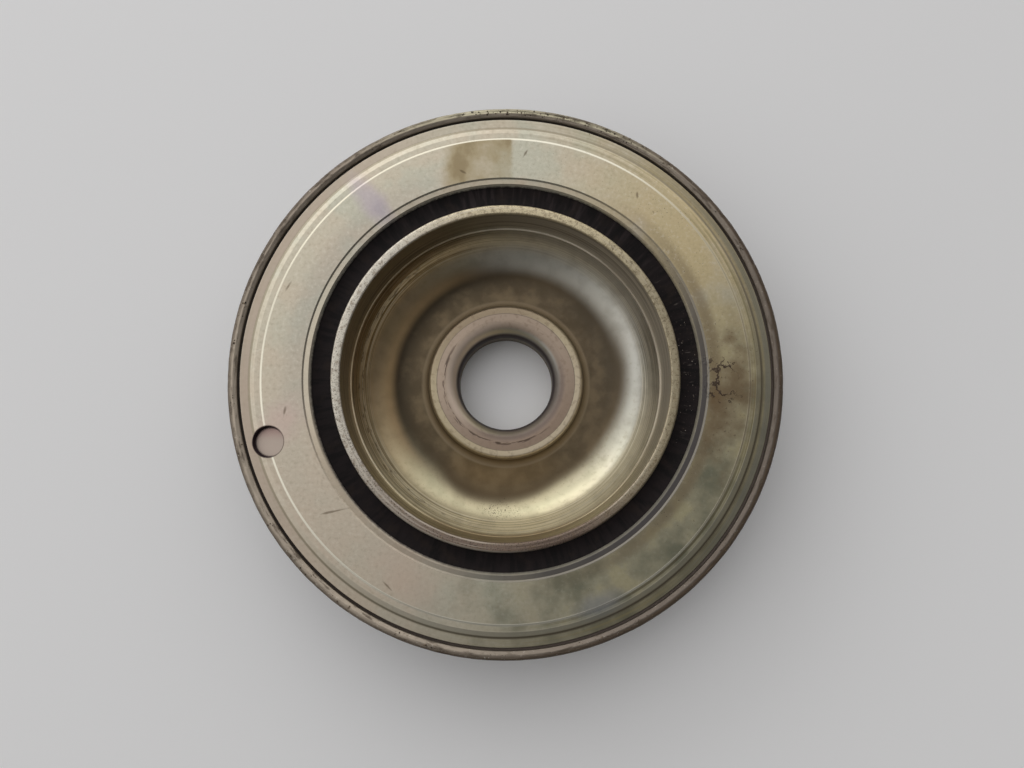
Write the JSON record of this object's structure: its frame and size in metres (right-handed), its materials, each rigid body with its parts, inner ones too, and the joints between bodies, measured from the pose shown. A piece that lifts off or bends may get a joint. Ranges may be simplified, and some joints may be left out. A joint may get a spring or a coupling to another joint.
{
  "type": "harmonic balancer",
  "caption": "Crankshaft pulley with a torsional damper: a cup-shaped hub, a rubber ring and a heavy grooved belt ring with a stepped front face.",
  "frame": {"origin": "centre of the hub's seat, on the crankshaft's axis, where the balancer rests", "axes": "+Z along the crankshaft's axis, out of the front face; +X and +Y across it, with the blind hole at 195.8 degrees from +X"},
  "size_m": [0.16, 0.16, 0.03],
  "materials": {
    "hub_steel": "turned and zinc plated, yellowish, worn silver on the lip",
    "damper_rubber": "matt black, ragged at the edges",
    "ring_iron": "turned and zinc plated, yellowish, grimy at the flange"
  },
  "bodies": {
    "root": {"hub": "hub_steel", "rubber_ring": "damper_rubber", "inertia_ring": "ring_iron"}
  },
  "joints": []
}
